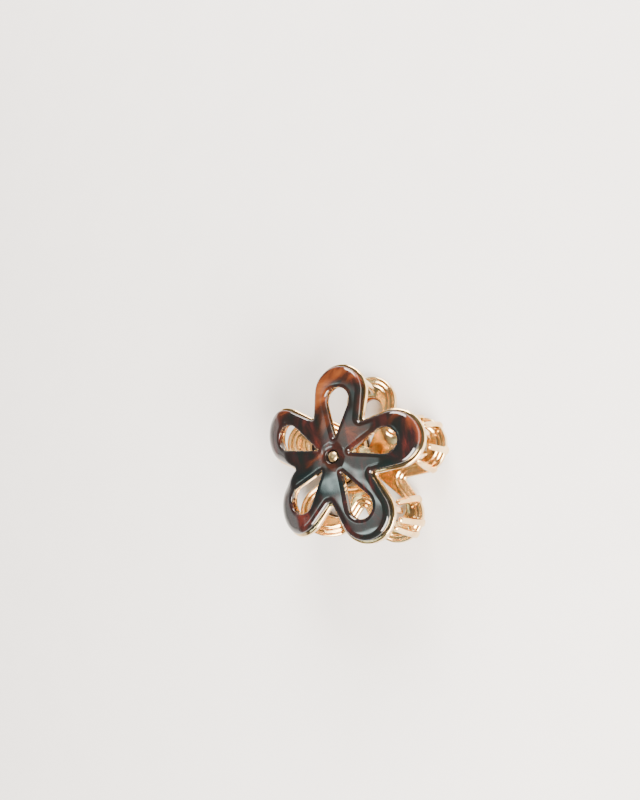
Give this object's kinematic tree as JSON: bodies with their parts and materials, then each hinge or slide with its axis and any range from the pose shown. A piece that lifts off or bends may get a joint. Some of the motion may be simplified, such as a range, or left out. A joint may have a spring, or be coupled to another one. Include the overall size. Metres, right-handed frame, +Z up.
{
  "type": "claw clip",
  "caption": "Spring-loaded hair claw clip with two mirrored open-flower jaws: plated metal frames with interlacing claw teeth under thick marbled acetate overlays.",
  "frame": {"origin": "middle of the clip's footprint, on the surface that the lower flower's outer face lies on", "axes": "+X along the hinge pin, +Y towards the handles, -Y towards the claws, +Z up from the lower jaw to the upper jaw"},
  "size_m": [0.0676, 0.0654, 0.0338],
  "materials": {
    "plated_metal": "polished",
    "acetate": "polished",
    "spring_steel": "satin"
  },
  "bodies": {
    "lower_jaw": {"lower_jaw_frame": "plated_metal", "lower_flower_overlay": "acetate", "lower_rivet": "plated_metal", "hinge_pin": "plated_metal", "torsion_spring": "spring_steel"},
    "upper_jaw": {"upper_jaw_frame": "plated_metal", "upper_flower_overlay": "acetate", "upper_rivet": "plated_metal"}
  },
  "joints": [
    {"name": "jaw_hinge", "type": "hinge", "parent": "lower_jaw", "child": "upper_jaw", "pos_m": [0, 0.01033, 0.0169], "axis": [-1, 0, 0], "range_deg": [0, 21], "stiffness_Nm_per_rad": 0.1, "springref_deg": -34.38, "deforming": ["torsion_spring"]}
  ]
}
